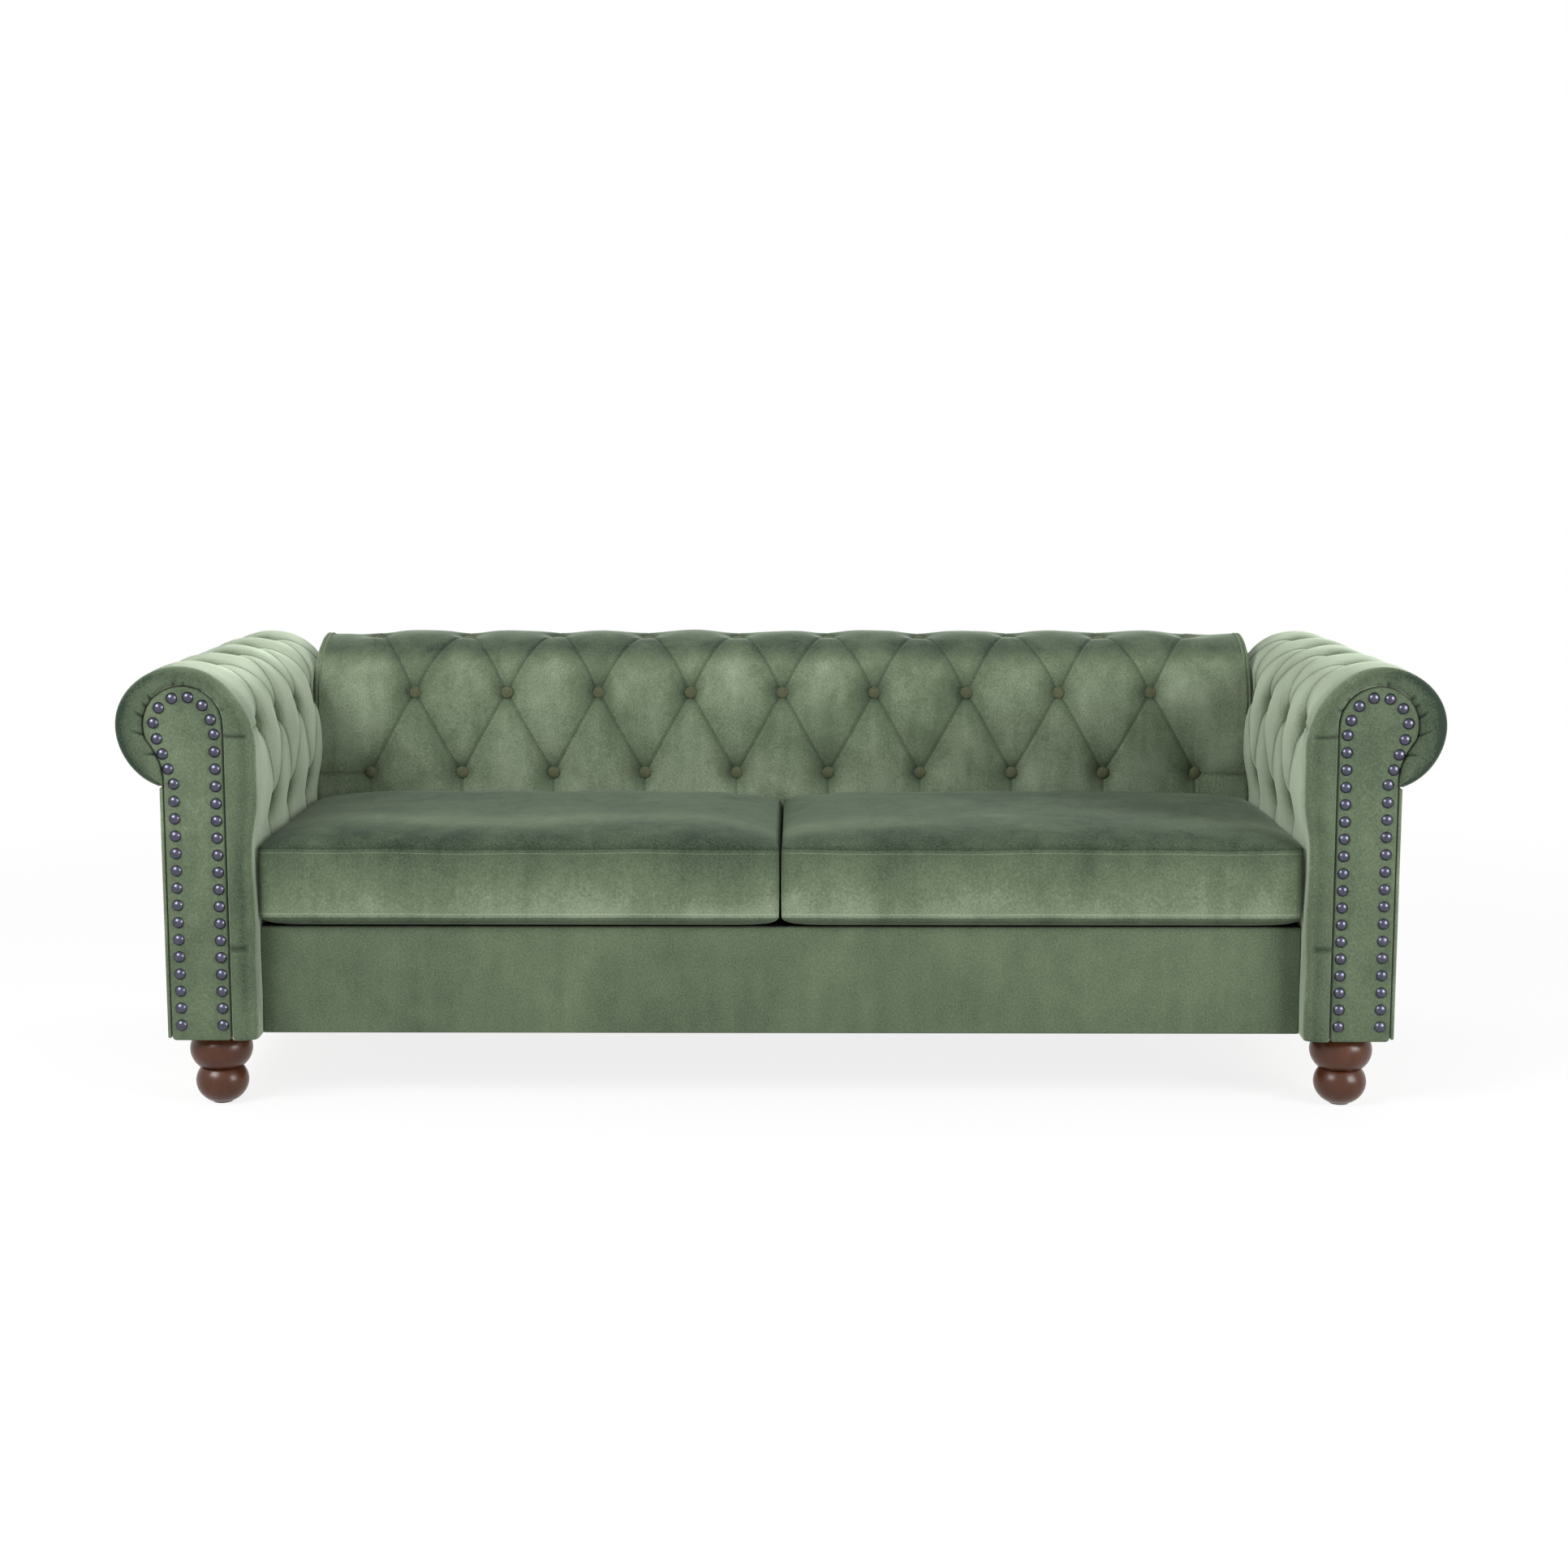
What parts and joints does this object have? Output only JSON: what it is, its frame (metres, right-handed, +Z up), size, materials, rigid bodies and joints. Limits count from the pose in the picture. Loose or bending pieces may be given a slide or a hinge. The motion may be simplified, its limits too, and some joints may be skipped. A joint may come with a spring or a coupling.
{
  "type": "chesterfield sofa",
  "caption": "Chesterfield sofa in green velvet with rolled button-tufted arms and back, loose seat cushions, nail-head trim and turned bun feet.",
  "frame": {"origin": "on the floor under the middle of the sofa's bounding box", "axes": "+X to the right seen from the front, -Y out of the front towards the sitter's feet, +Y to the back, +Z up"},
  "size_m": [2.15, 0.8399, 0.7356],
  "materials": {
    "green_velvet": "short-pile velvet, sheen where the nap turns",
    "walnut_stain": "turned hardwood, walnut stain, satin lacquer",
    "gunmetal_nails": "gunmetal plated dome, half gloss",
    "nylon_glide": "moulded nylon",
    "zinc_steel": "zinc-plated steel",
    "plywood": "raw birch plywood",
    "frame_timber": "raw pine",
    "hardboard": "thin hardboard",
    "foam": "open-cell cushion foam",
    "felt": "needled felt",
    "black_cloth": "black non-woven cloth",
    "zip_tape": "nylon coil zip and its tape",
    "zip_metal": "die-cast slider, lacquered"
  },
  "bodies": {
    "frame": {"arm_left_base_board": "plywood", "arm_left_buttons": "green_velvet", "arm_left_facing": "green_velvet", "arm_left_front_board": "plywood", "arm_left_liner": "hardboard", "arm_left_mounting_rail": "frame_timber", "arm_left_nailheads": "gunmetal_nails", "arm_left_outer_cover": "green_velvet", "arm_left_pad": "green_velvet", "arm_left_rails": "frame_timber", "arm_left_rear_board": "plywood", "arm_right_base_board": "plywood", "arm_right_buttons": "green_velvet", "arm_right_facing": "green_velvet", "arm_right_front_board": "plywood", "arm_right_liner": "hardboard", "arm_right_mounting_rail": "frame_timber", "arm_right_nailheads": "gunmetal_nails", "arm_right_outer_cover": "green_velvet", "arm_right_pad": "green_velvet", "arm_right_rails": "frame_timber", "arm_right_rear_board": "plywood", "back_buttons": "green_velvet", "back_liner": "hardboard", "back_outer_cover": "green_velvet", "back_pad": "green_velvet", "back_rails": "frame_timber", "back_ribs": "plywood", "foot_bolts": "zinc_steel", "foot_front_left": "walnut_stain", "foot_front_right": "walnut_stain", "foot_glides": "nylon_glide", "foot_nuts": "zinc_steel", "foot_rear_left": "walnut_stain", "foot_rear_right": "walnut_stain", "frame_bolt_nuts": "zinc_steel", "frame_bolts": "zinc_steel", "seat_corner_blocks": "frame_timber", "seat_cross_rails": "frame_timber", "seat_deck_felt": "felt", "seat_deck_pad": "black_cloth", "seat_dust_cover": "black_cloth", "seat_front_cover": "green_velvet", "seat_front_rail": "frame_timber", "seat_rear_rail": "frame_timber", "seat_side_rails": "frame_timber", "seat_spring_clips": "zinc_steel", "seat_springs": "zinc_steel", "seat_tie_wires": "zinc_steel"},
    "cushion_left": {"cushion_left_cover": "green_velvet", "cushion_left_core": "foam", "cushion_left_zip": "zip_tape"},
    "cushion_right": {"cushion_right_cover": "green_velvet", "cushion_right_core": "foam", "cushion_right_zip": "zip_tape"},
    "zip_slider_left": {"cushion_left_zip_slider": "zip_metal"},
    "zip_slider_right": {"cushion_right_zip_slider": "zip_metal"}
  },
  "joints": [
    {"name": "left_cushion_pull", "type": "slide", "parent": "frame", "child": "cushion_left", "axis": [0, -1, 0], "range_m": [0, 0.3]},
    {"name": "right_cushion_pull", "type": "slide", "parent": "frame", "child": "cushion_right", "axis": [0, -1, 0], "range_m": [0, 0.3]},
    {"name": "left_zip", "type": "slide", "parent": "cushion_left", "child": "zip_slider_left", "axis": [1, 0, 0], "range_m": [0, 0.62]},
    {"name": "right_zip", "type": "slide", "parent": "cushion_right", "child": "zip_slider_right", "axis": [1, 0, 0], "range_m": [0, 0.62]}
  ]
}
